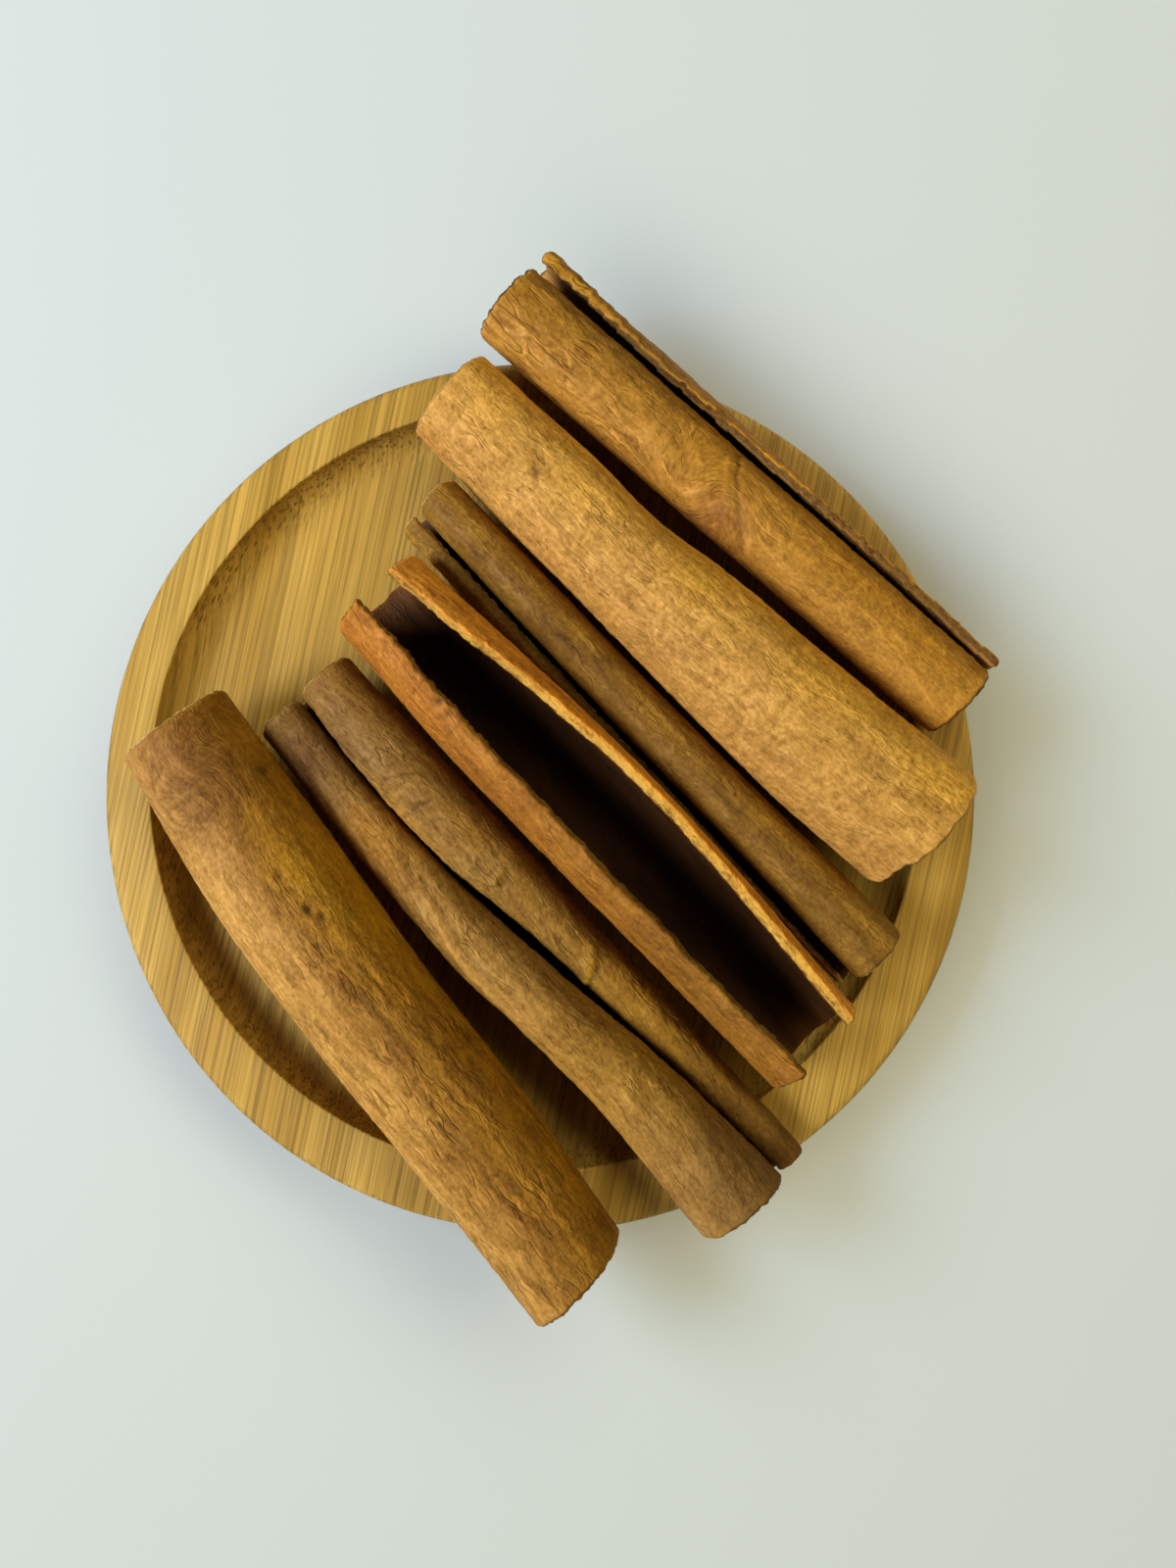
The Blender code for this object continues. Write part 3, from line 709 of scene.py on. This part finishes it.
def end_runs(quill, skin, seed):
    """Each point's place along the stick, with its slanted, ragged ends."""
    t = skin.along / skin.length
    height, width, sway = (
        np.array([at(values, part) for part in t[:, 0]])[:, None]
        for values in (quill.height, quill.width, quill.sway)
    )
    across = skin.place[..., 0]
    up = skin.place[..., 1]
    near_start = (1 - t) ** END_REACH
    near_end = t**END_REACH
    lean = quill.lean[0] * near_start - quill.lean[1] * near_end
    skew = quill.skew[0] * near_start + quill.skew[1] * near_end
    run = skin.along + EDGE_ROUND * (1 - 2 * t)
    run += lean * (up / height - 0.5) + skew * (across - sway) / width
    for end, sign in ((0, 1), (1, -1)):
        from_end = np.abs(skin.along - end * skin.length)
        torn = fractal(skin.sheet / 2.2, 7.3 * end, seed + 101, 4, 0.6)
        torn = quill.ragged * np.clip(0.45 + 0.6 * torn, 0, None)
        if end == 0:
            torn = torn + quill.scallop * (1 - np.abs(np.sin(np.pi * skin.sheet / 2.1))) ** 2
        for which, place, half_width, depth in quill.bites:
            if which == end:
                share = np.exp(-(((across - place) / half_width) ** 4))
                torn = torn + depth * share * (up > height / 2)
        run += sign * torn * np.exp(-from_end / 3.0)
    return run


# Meshes


def cap(ring, end):
    """Rows of points over one cut end, from the outside row to the inside row of a ring."""
    outside = ring[:PATH_POINTS]
    inside = ring[PATH_POINTS + CUT_ROWS - 1 : 2 * PATH_POINTS + CUT_ROWS - 1][::-1]
    share = np.linspace(0, 1, CUT_ROWS + 1)[1:-1, None, None]
    rows = outside[1:-1] * (1 - share) + inside[1:-1] * share
    level = 1 - 2 * share[..., 0]
    rows[..., 0] += (2 * end - 1) * EDGE_ROUND * np.sqrt(1 - level**2)
    return rows


def cap_index(end, stations, ring):
    """The vertex numbers of one cut end as a grid of rows across the bark."""
    first = end * (stations - 1) * ring
    outside = first + np.arange(PATH_POINTS)
    inside = first + PATH_POINTS + CUT_ROWS - 1 + np.arange(PATH_POINTS)[::-1]
    far_edge = first + PATH_POINTS + np.arange(CUT_ROWS - 1)
    near_edge = first + ring - 1 - np.arange(CUT_ROWS - 1)
    count = (CUT_ROWS - 1) * (PATH_POINTS - 2)
    middle = stations * ring + end * count + np.arange(count)
    middle = middle.reshape(CUT_ROWS - 1, PATH_POINTS - 2)
    rows = [outside]
    for row in range(CUT_ROWS - 1):
        rows.append(np.concatenate([near_edge[row : row + 1], middle[row], far_edge[row : row + 1]]))
    rows.append(inside)
    return np.stack(rows)


def quads(grid):
    """The faces between the rows and columns of a grid of vertex numbers."""
    corners = (grid[:-1, :-1], grid[:-1, 1:], grid[1:, 1:], grid[1:, :-1])
    return np.stack([corner.ravel() for corner in corners], axis=-1)


def mesh_object(name, points, faces):
    """A smooth-shaded object from points in millimetres and faces of four corners."""
    mesh = bpy.data.meshes.new(name)
    mesh.vertices.add(len(points))
    mesh.vertices.foreach_set("co", (points * MM).astype(np.float32).ravel())
    mesh.loops.add(faces.size)
    mesh.loops.foreach_set("vertex_index", faces.astype(np.int32).ravel())
    mesh.polygons.add(len(faces))
    mesh.polygons.foreach_set("loop_start", np.arange(0, faces.size, 4, dtype=np.int32))
    mesh.update(calc_edges=True)
    mesh.shade_smooth()
    item = bpy.data.objects.new(name, mesh)
    bpy.context.scene.collection.objects.link(item)
    return item


def store(item, name, values):
    """Keeps values at each vertex: three numbers as a vector, four as a colour."""
    kind, slot = {3: ("FLOAT_VECTOR", "vector"), 4: ("FLOAT_COLOR", "color")}[values.shape[-1]]
    attribute = item.data.attributes.new(name, kind, "POINT")
    attribute.data.foreach_set(slot, values.astype(np.float32).ravel())


def quill_layers(quill, skin, seed):
    """What each point has: its place along, across and up, and what its material reads."""
    grain = swirled(quill, skin)
    marks = named_marks(quill, skin, seed)
    shares = shares_of(quill, skin, seed)
    move, crease = relief(quill, skin, grain, marks, shares, seed)
    place = skin.place + skin.out * move[..., None]
    run = end_runs(quill, skin, seed)
    # Creases are darkened as painted shade, added to the dark of the named features and lines.
    dark = np.maximum(marks["dark"], 0.5 * crease)
    pale = np.maximum(marks["pale"], worn_rims(skin, seed))
    inside = (skin.side == -1) * 1.0
    cut = (np.abs(skin.side) < 1) * 1.0
    layers = np.stack([run, *place.transpose(2, 0, 1), *grain, inside, cut, dark, pale], axis=-1)
    return np.concatenate([layers, shares, tints(quill, skin, seed)], axis=-1)


def end_layers(quill, layers, end, seed):
    """The same for the rows of points over one cut end, which is rough."""
    rows = cap(layers[-end], end)
    rows[..., 4] += quill.bark * np.linspace(0, 1, CUT_ROWS + 1)[1:-1, None]
    rows[..., 5:9] = (0, 1, 0, 0)
    torn = fractal(rows[..., 1] / 0.7, rows[..., 2] / 0.7, seed + 111, 3)
    rows[..., 0] += END_TORN_DEPTH * torn
    return rows


def quill_faces(quill, stations, ring):
    """The faces round the quill and over its two cut ends."""
    grid = np.arange(stations * ring).reshape(stations, ring)
    faces = [quads(np.concatenate([grid, grid[:, :1]], axis=1))]
    faces.append(quads(cap_index(0, stations, ring))[:, ::-1])
    faces.append(quads(cap_index(1, stations, ring)))
    faces = np.concatenate(faces)
    return faces if quill.back_up else faces[:, ::-1]


def quill_object(name, quill, seed):
    """The quill's detailed mesh, with the bark's coordinates and marks stored on it."""
    skin = lay_out(quill, seed)
    layers = quill_layers(quill, skin, seed)
    ends = [end_layers(quill, layers, end, seed) for end in (0, 1)]
    points = np.concatenate([rows.reshape(-1, layers.shape[-1]) for rows in (layers, *ends)])
    axis = np.subtract(quill.end, quill.start) / skin.length
    side_axis = np.array([-axis[1], axis[0]])
    plan = quill.start + points[:, :1] * axis + points[:, 1:2] * side_axis
    level = points[:, 2:3] + TRAY_HEIGHT + REST_GAP
    faces = quill_faces(quill, *skin.along.shape)
    item = mesh_object(name, np.concatenate([plan, level], axis=1), faces)
    store(item, "grain", points[:, 3:6] * (1, 1, 0))
    # The marks hold the inside, the cut edges, dark marks with painted shade in the creases, and pale
    # marks.
    store(item, "marks", points[:, 5:9])
    store(item, "shares", points[:, 9:12])
    store(item, "tint", points[:, 12:15])
    return item


def turned(centre, radius, first, last, steps):
    """Points (distance, height) along an arc between two angles in degrees."""
    angles = np.radians(np.linspace(first, last, steps + 1))
    return [(centre[0] + radius * np.cos(a), centre[1] + radius * np.sin(a)) for a in angles]


def tray_profile():
    """The tray's outline from the underside's middle, round the rim, to the recess's middle.

    Each point is (distance from the centre, height, share of the recess's offset)."""
    edge = TRAY_EDGE_ROUND
    side = TRAY_RADIUS - edge
    floor = TRAY_HEIGHT - RECESS_DEPTH
    toe = RECESS_RADIUS - RECESS_FILLET
    under = [(radius, 0.0) for radius in np.linspace(0, side, 14)[1:-1]]
    rim = turned((side, edge), edge, -90, 0, 8)
    rim += [(TRAY_RADIUS, height) for height in np.linspace(edge, TRAY_HEIGHT - edge, 7)[1:-1]]
    rim += turned((side, TRAY_HEIGHT - edge), edge, 0, 90, 8)
    lip = RECESS_RADIUS + RECESS_LIP_ROUND
    top = [(radius, TRAY_HEIGHT) for radius in np.linspace(side, lip, 6)[1:-1]]
    recess = turned((lip, TRAY_HEIGHT - RECESS_LIP_ROUND), RECESS_LIP_ROUND, 90, 180, 4)
    recess += turned((toe, floor + RECESS_FILLET), RECESS_FILLET, 0, -90, 16)
    recess += [(radius, floor) for radius in np.arange(toe, 1.0, -TRAY_RING_GAP)[1:]]
    outside = [(*point, 0.0) for point in under + rim]
    outside += [(*point, (side - point[0]) / (side - lip)) for point in top]
    return outside + [(*point, 1.0) for point in recess]


def tray_object(name):
    """The tray's mesh: its profile turned round, closed by a point at each middle."""
    profile = np.array(tray_profile())
    angles = np.linspace(0, 2 * np.pi, TRAY_SIDES, endpoint=False)
    centre = profile[:, 2:] * RECESS_CENTRE
    plan = profile[:, :1, None] * np.stack([np.cos(angles), np.sin(angles)], axis=-1)[None]
    plan = plan + centre[:, None, :]
    level = np.broadcast_to(profile[:, 1:2], plan.shape[:2])
    points = np.concatenate([plan, level[..., None]], axis=-1).reshape(-1, 3)
    grid = np.arange(len(points)).reshape(len(profile), TRAY_SIDES)
    faces = quads(np.concatenate([grid, grid[:, :1]], axis=1))[:, ::-1]
    middles = [(0.0, 0.0, 0.0), (*RECESS_CENTRE, TRAY_HEIGHT - RECESS_DEPTH)]
    points = np.concatenate([points, middles])
    return mesh_object(name, points, np.concatenate([faces, *tray_middles(grid, len(points))]))


def tray_middles(grid, count):
    """Faces of four corners that close the underside and the recess round their middles."""
    fans = []
    for ring, middle, turn in ((grid[0], count - 2, 1), (grid[-1], count - 1, -1)):
        first = ring[0::2]
        second = ring[1::2]
        third = np.roll(first, -1)
        fan = np.stack([np.full(len(first), middle), first, second, third], axis=-1)
        fans.append(fan[:, ::-turn])
    return fans


# Materials


class Shader:
    """Adds nodes to one material or world. A socket given as an input is linked."""

    def __init__(self, owner):
        owner.use_nodes = True
        self.owner = owner
        self.tree = owner.node_tree

    def put(self, socket, value):
        if isinstance(value, bpy.types.NodeSocket):
            self.tree.links.new(value, socket)
        elif value is not None:
            socket.default_value = value

    def node(self, kind, inputs, **settings):
        node = self.tree.nodes.new(kind)
        for name, value in settings.items():
            setattr(node, name, value)
        for which, value in inputs.items():
            self.put(node.inputs[which], value)
        return node

    def attribute(self, name):
        return self.node("ShaderNodeAttribute", {}, attribute_name=name)

    def parts(self, vector):
        return self.node("ShaderNodeSeparateXYZ", {0: vector}).outputs

    def colours(self, colour):
        return self.node("ShaderNodeSeparateColor", {0: colour}).outputs

    def stretched(self, vector, scale, turn=0.0, shift=(0, 0, 0)):
        inputs = {"Vector": vector, "Scale": scale, "Rotation": (0, 0, turn), "Location": shift}
        return self.node("ShaderNodeMapping", inputs).outputs[0]

    def noise(self, vector, detail, roughness=0.5):
        inputs = {"Vector": vector, "Scale": 1.0, "Detail": detail, "Roughness": roughness}
        return self.node("ShaderNodeTexNoise", inputs).outputs

    def pattern(self, vector, scale, shift, detail, roughness=0.5):
        """Noise over the coordinates, stretched and shifted along two axes."""
        place = self.stretched(vector, (*scale, 1), shift=(*shift, 0))
        return self.noise(place, detail, roughness)["Fac"]

    def cells(self, vector):
        inputs = {"Vector": vector, "Scale": 1.0}
        return self.node("ShaderNodeTexVoronoi", inputs, feature="F1").outputs

    def span(self, value, low, high, new_low=0.0, new_high=1.0):
        inputs = {0: value, 1: low, 2: high, 3: new_low, 4: new_high}
        return self.node("ShaderNodeMapRange", inputs, interpolation_type="SMOOTHSTEP").outputs[0]

    def maths(self, operation, first, second=None):
        return self.node("ShaderNodeMath", {0: first, 1: second}, operation=operation).outputs[0]

    def product(self, first, second):
        return self.maths("MULTIPLY", first, second)

    def past_half(self, value):
        return self.maths("SUBTRACT", value, 0.5)

    def band(self, value, middle, near, far):
        """1 this near the middle value, falling to 0 at the far distance from it."""
        gap = self.maths("ABSOLUTE", self.maths("SUBTRACT", value, middle))
        return self.span(gap, near, far, 1.0, 0.0)

    def added(self, first, second, amount=1.0):
        """The first value plus this amount of the second."""
        inputs = {0: second, 1: amount, 2: first}
        return self.node("ShaderNodeMath", inputs, operation="MULTIPLY_ADD").outputs[0]

    def mix(self, share, first, second, blend="MIX"):
        inputs = {0: share, 6: opaque(first), 7: opaque(second)}
        return self.node("ShaderNodeMix", inputs, data_type="RGBA", blend_type=blend).outputs[2]

    def ramp(self, value, *stops):
        node = self.node("ShaderNodeValToRGB", {0: value})
        elements = node.color_ramp.elements
        while len(elements) < len(stops):
            elements.new(0.5)
        for element, (place, colour) in zip(elements, stops):
            element.position = place
            element.color = opaque(colour)
        return node.outputs[0]

    def bump(self, height, distance, strength=1.0):
        inputs = {"Height": height, "Distance": distance * MM, "Strength": strength}
        return self.node("ShaderNodeBump", inputs).outputs[0]

    def finish(self, colour, roughness, normal, specular):
        surface = self.tree.nodes["Principled BSDF"].inputs
        self.put(surface["Base Color"], colour)
        self.put(surface["Roughness"], roughness)
        self.put(surface["Normal"], normal)
        self.put(surface["Specular IOR Level"], specular)
        return self.owner


def opaque(colour):
    """The colour with an alpha of 1, unless it comes from a socket."""
    return colour if isinstance(colour, bpy.types.NodeSocket) else (*colour, 1.0)


def grey(value):
    return (value, value, value)


def times(colour, *factors):
    return [part * factor for part, factor in zip(colour, factors)]


def dashes(s, vector, scale, shift, kept, size):
    """Short dark marks: the hearts of a few of the cells of a stretched pattern."""
    cells = s.cells(s.stretched(vector, scale, shift=shift))
    chosen = s.span(s.colours(cells["Color"])[0], kept, kept + 0.05, 1.0, 0.0)
    return s.product(s.span(cells["Distance"], 0.3 * size, size, 1.0, 0.0), chosen)


def bark_material(name, quill):
    """Cinnamon bark: fibres and ripples, pale on their backs and dark in the creases between,
    as painted light and shade following the relief, with fine grain, cracks and pits that are
    darkened partly as painted shade, and paler torn edges."""
    s = Shader(bpy.data.materials.new(name))
    grain = s.attribute("grain").outputs["Vector"]
    marks = s.attribute("marks")
    inside, cut, dark = s.colours(marks.outputs["Color"])[:3]
    pale = marks.outputs["Alpha"]
    fibre_share, ripple_share, crackle_share = s.parts(s.attribute("shares").outputs["Vector"])[:3]
    # The dark tone is the bark's darker colour and painted shade in its hollows; the light tone is paler
    # bark and painted highlight on its ridges.
    deep = times(quill.colour, 0.45, 0.37, 0.22)
    light = times(quill.colour, 1.6, 1.7, 2.3)

    warp = s.noise(s.stretched(grain, (0.35, 0.45, 1)), 1.0)["Color"]
    warp = {0: warp, 1: (1.2, 0.8, 0.0), 2: grain}
    bent = s.node("ShaderNodeVectorMath", warp, operation="MULTIPLY_ADD").outputs[0]
    long = s.pattern(bent, (0.17, 1.0), (0, 0), 1.5, 0.45)
    some = s.pattern(grain, (0.22, 0.45), (9, 4), 2)
    streaks = s.product(s.span(some, 0.40, 0.56), fibre_share)
    creases = s.product(s.band(long, 0.5, 0.0, 0.030), streaks)
    veins = s.product(s.band(long, 0.56, 0.0, 0.035), streaks)
    fibres = s.pattern(bent, (0.24, 1.3), (2, 3), 1, 0.4)
    ripples = s.pattern(bent, (1.1, 0.7), (3, 1), 1, 0.4)
    lumps = s.pattern(bent, (0.5, 0.9), (6, 3), 2)
    grit = s.pattern(grain, (1.9, 2.6), (1, 7), 2, 0.55)
    mottle = s.pattern(bent, (0.07, 0.40), (7, 2), 3)

    height = s.product(s.product(s.past_half(fibres), fibre_share), 1.3)
    height = s.added(height, veins, 0.42)
    height = s.added(height, s.product(s.past_half(ripples), ripple_share), 0.9)
    height = s.added(height, s.past_half(lumps), 0.5)
    height = s.added(height, s.past_half(grit), 0.85)
    where = s.span(s.pattern(grain, (0.3, 0.4), (3, 8), 2), 0.40, 0.60)
    where = s.product(where, crackle_share)
    cracks = dashes(s, bent, (0.32, 3.2, 1), (2, 5, 0), 0.22, 0.42)
    pits = dashes(s, bent, (0.9, 1.5, 1), (4, 4, 0), 0.1, 0.20)
    folds = s.band(s.pattern(bent, (0.35, 1.0), (8, 6), 1), 0.5, 0.008, 0.024)
    broken = s.span(s.pattern(grain, (0.7, 0.9), (5, 9), 1), 0.50, 0.56)
    folds = s.product(folds, broken)
    holes = s.maths("MAXIMUM", cracks, s.maths("MAXIMUM", pits, folds))
    holes = s.maths("MAXIMUM", s.product(holes, where), s.product(creases, 0.8))

    # Tone follows the relief, ridges paler and hollows darker as painted light and shade, with random
    # mottling.
    tone = s.added(s.added(0.5, height, 0.65), s.past_half(mottle), quill.mottle)
    colour = s.ramp(tone, (0.20, deep), (0.5, quill.colour), (0.80, light))
    # Cracks, pits, folds and creases are darkened, partly as the bark's own dark marks and partly as
    # painted shade.
    colour = s.mix(s.product(holes, 0.75), colour, deep)
    speckled = s.ramp(tone, (0.35, times(quill.cut, 0.45, 0.35, 0.2)), (0.55, quill.cut))
    colour = s.mix(s.product(pale, 0.75), colour, light)
    colour = s.mix(cut, colour, speckled)
    # The inside's colour, with its painted shade and painted light, mottled.
    hollow_painted_light = s.ramp(mottle, (0.35, times(quill.inner, 0.5, 0.5, 0.5)), (0.7, quill.inner))
    colour = s.mix(inside, colour, hollow_painted_light)
    colour = s.mix(1.0, colour, s.attribute("tint").outputs["Color"], "MULTIPLY")
    # Dark marks, and the painted shade in creases.
    colour = s.mix(dark, colour, times(deep, 0.3, 0.3, 0.3))
    height = s.added(height, holes, -1.0)
    gloss = s.span(inside, 0.0, 1.0, 0.15, 0.03)
    return s.finish(colour, s.span(tone, 0.3, 0.7, 0.78, 0.60), s.bump(height, 0.13), gloss)


def bamboo_material(name):
    """Bamboo: fibre bundles along the grain, cut into lines on top and dots on the walls."""
    s = Shader(bpy.data.materials.new(name))
    coordinates = s.node("ShaderNodeTexCoord", {}).outputs
    turn = np.radians(GRAIN_TURN)
    along = s.stretched(coordinates["Object"], (1 / MM, 1 / MM, 1 / MM), turn)
    strips = s.noise(s.stretched(along, (0.22, 0.003, 0.05)), 2)["Fac"]
    lines = s.noise(s.stretched(along, (2.4, 0.006, 0.3), shift=(5, 1, 0)), 5, 0.75)["Fac"]
    bundles = s.cells(s.stretched(along, (2.0, 0.06, 2.0)))["Distance"]
    dots = s.span(bundles, 0.20, 0.42, 1.0, 0.0)
    fibres = s.noise(s.stretched(along, (8.0, 0.10, 8.0)), 3, 0.6)["Fac"]
    colour = s.ramp(strips, (0.35, (0.42, 0.228, 0.036)), (0.65, (0.56, 0.328, 0.068)))
    colour = s.mix(1.0, colour, s.ramp(lines, (0.38, grey(0.60)), (0.56, grey(1.08))), "MULTIPLY")
    up = s.parts(coordinates["Normal"])[2]
    dots_shown = s.span(up, 0.5, 0.95, 0.85, 0.25)
    colour = s.mix(s.product(dots, dots_shown), colour, (0.17, 0.085, 0.02))
    colour = s.mix(1.0, colour, s.ramp(fibres, (0.3, grey(0.88)), (0.7, grey(1.1))), "MULTIPLY")
    height = s.maths("SUBTRACT", s.product(fibres, 0.5), dots)
    normal = s.bump(height, 0.05, 0.6)
    return s.finish(colour, s.span(fibres, 0.3, 0.7, 0.55, 0.45), normal, 0.2)


# Stage


def floor_material():
    s = Shader(bpy.data.materials.new("table"))
    place = s.node("ShaderNodeTexCoord", {}).outputs["Object"]
    specks = s.noise(s.stretched(place, (700, 700, 700)), 4, 0.6)["Fac"]
    return s.finish(opaque((0.78, 0.775, 0.75)), 0.6, s.bump(specks, 0.05, 0.2), 0.3)


def add_floor():
    half = 1.5
    points = np.array([(-half, -half, 0), (half, -half, 0), (half, half, 0), (-half, half, 0)]) / MM
    floor = mesh_object("floor", points, np.array([[0, 1, 2, 3]]))
    floor.data.materials.append(floor_material())
    return floor


def add_light(name, place, size, power, colour, pieces):
    """A soft box at this place in metres, facing the tray, that lights only these."""
    light = bpy.data.lights.new(name, "AREA")
    light.shape = "RECTANGLE"
    light.size, light.size_y = size
    light.energy = power
    light.color = colour
    item = bpy.data.objects.new(name, light)
    item.location = place
    target = Vector((0.0, 0.0, 0.01)) - Vector(place)
    item.rotation_euler = target.to_track_quat("-Z", "Y").to_euler()
    bpy.context.scene.collection.objects.link(item)
    lit = bpy.data.collections.new(name)
    for piece in pieces:
        lit.objects.link(piece)
    item.light_linking.receiver_collection = lit


def add_world():
    """A dim room, with cool window light on the left, warm and weaker on the right."""
    s = Shader(bpy.data.worlds.new("room"))
    direction = s.node("ShaderNodeTexCoord", {}).outputs["Generated"]

    def towards(axis):
        """How far the direction leans this way."""
        inputs = {0: direction, 1: axis}
        return s.node("ShaderNodeVectorMath", inputs, operation="DOT_PRODUCT").outputs["Value"]

    def ranged(value, spread):
        """The value mapped from one range to another."""
        return s.node("ShaderNodeMapRange", dict(enumerate((value, *spread)))).outputs[0]

    away = ranged(towards(AWAY_FROM_WINDOW), (-0.8, 0.8, 0.0, 1.0))
    across = s.maths("ABSOLUTE", towards(ACROSS_STICKS))
    strength = ranged(across, (*SKY_BAND, *WORLD_STRENGTH))
    strength = s.product(strength, ranged(towards((0.0, 0.0, 1.0)), (*HORIZON, 0.0, 1.0)))
    sky = s.tree.nodes["Background"]
    s.put(sky.inputs["Color"], s.mix(away, WINDOW_COLOUR, ROOM_COLOUR))
    s.put(sky.inputs["Strength"], strength)
    backdrop = s.node("ShaderNodeBackground", {"Color": opaque(BACKDROP_COLOUR)})
    seen = s.node("ShaderNodeLightPath", {}).outputs["Is Camera Ray"]
    inputs = {0: seen, 1: sky.outputs[0], 2: backdrop.outputs[0]}
    shown = s.node("ShaderNodeMixShader", inputs).outputs[0]
    s.put(s.tree.nodes["World Output"].inputs["Surface"], shown)
    bpy.context.scene.world = s.owner


def add_camera():
    camera = bpy.data.cameras.new("camera")
    camera.sensor_width = 36.0
    camera.lens = CAMERA_LENS
    camera.sensor_fit = "HORIZONTAL"
    camera.clip_start = 0.01
    item = bpy.data.objects.new("camera", camera)
    item.location = CAMERA_PLACE
    item.rotation_euler = (0.0, 0.0, 0.0)
    bpy.context.scene.collection.objects.link(item)
    bpy.context.scene.camera = item


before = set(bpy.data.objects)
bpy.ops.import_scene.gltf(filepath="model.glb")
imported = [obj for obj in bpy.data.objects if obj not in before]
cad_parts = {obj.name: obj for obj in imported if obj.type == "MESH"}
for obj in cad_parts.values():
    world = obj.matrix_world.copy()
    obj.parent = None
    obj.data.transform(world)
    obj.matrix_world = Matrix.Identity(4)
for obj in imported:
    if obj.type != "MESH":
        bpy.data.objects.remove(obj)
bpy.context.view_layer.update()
pieces = []
for seed, (name, quill) in enumerate(QUILLS.items()):
    piece = quill_object(name.replace("quill", "stick"), quill, 1000 * (seed + 1))
    piece.data.materials.append(bark_material(piece.name, quill))
    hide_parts(name)
    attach(piece, "root")
    pieces.append(piece)
tray = tray_object("bamboo_tray")
tray.data.materials.append(bamboo_material("bamboo_tray"))
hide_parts("tray")
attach(tray, "root")

floor = add_floor()
add_world()
add_light("window", (-0.40, -0.06, 0.33), (0.30, 0.25), 4.8, (0.85, 0.94, 1.0), pieces)
add_light("window_on_tray", (-0.21, -0.04, 0.21), (0.12, 0.12), 0.60, (0.85, 0.94, 1.0), [tray])
add_light("room_on_tray", (0.16, 0.18, 0.36), (0.15, 0.15), 0.32, (1.0, 0.90, 0.50), [tray])
add_light("daylight", (-0.42, 0.16, 0.40), (0.30, 0.30), 2.2, (0.56, 0.76, 1.05), [floor])
add_camera()
bpy.context.scene.view_settings.view_transform = "Standard"
